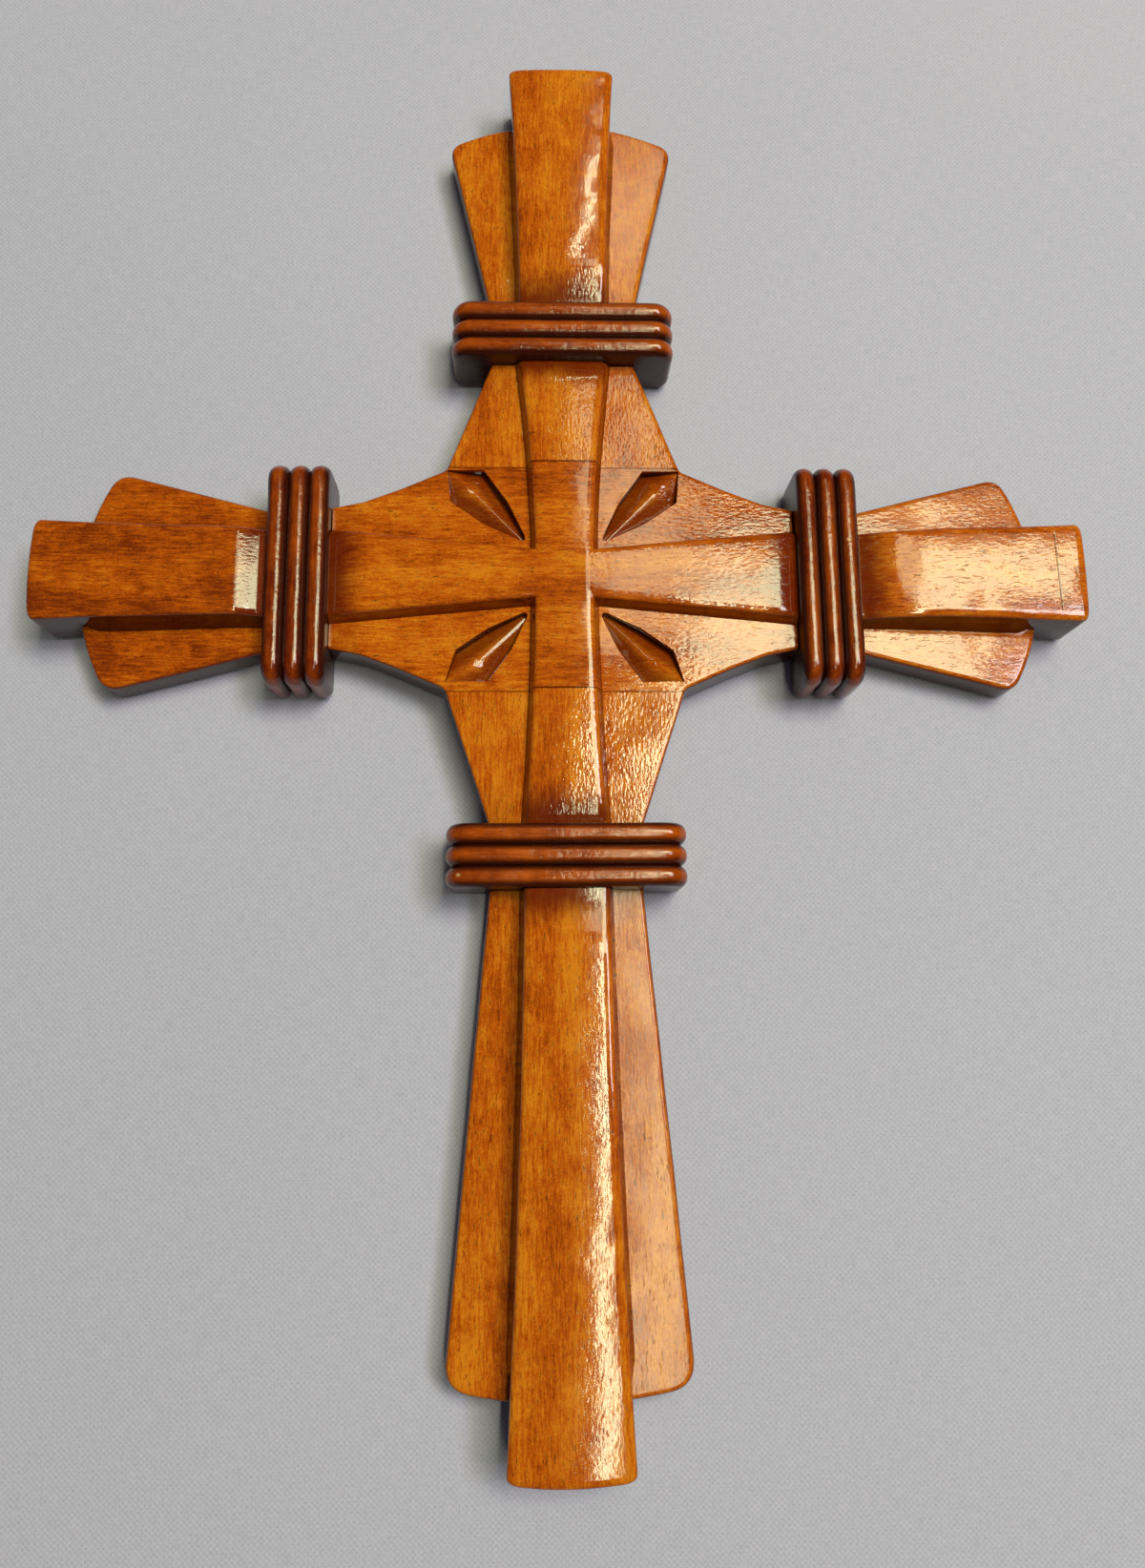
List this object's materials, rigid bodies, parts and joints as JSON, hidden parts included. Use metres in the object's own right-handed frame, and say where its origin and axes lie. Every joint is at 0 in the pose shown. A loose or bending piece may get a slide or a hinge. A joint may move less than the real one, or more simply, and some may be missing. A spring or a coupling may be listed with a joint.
{
  "type": "wall cross",
  "caption": "Carved wooden wall cross: half-lapped boards with a raised bar, flared wings, beaded split collars that it lies on and a keyhole hanger let into the back.",
  "frame": {"origin": "middle of the crossing, on the flat back of the boards", "axes": "+Z out of the carved front, +Y toward the top arm, +X toward the right arm seen from the front"},
  "size_m": [0.3048, 0.4086, 0.0216],
  "materials": {
    "wood": "gloss varnish",
    "dark_wood": "gloss varnish over dark stain",
    "peg_wood": "bare",
    "steel": "satin"
  },
  "bodies": {
    "root": {"upright": "wood", "crosspiece": "wood", "collar_top": "dark_wood", "collar_top_keeper": "dark_wood", "collar_bottom": "dark_wood", "collar_bottom_keeper": "dark_wood", "collar_left": "dark_wood", "collar_left_keeper": "dark_wood", "collar_right": "dark_wood", "collar_right_keeper": "dark_wood", "lap_peg_top": "peg_wood", "lap_peg_bottom": "peg_wood", "lap_peg_left": "peg_wood", "lap_peg_right": "peg_wood", "hanger_plate": "steel", "hanger_screw_upper": "steel", "hanger_screw_lower": "steel"}
  },
  "joints": []
}
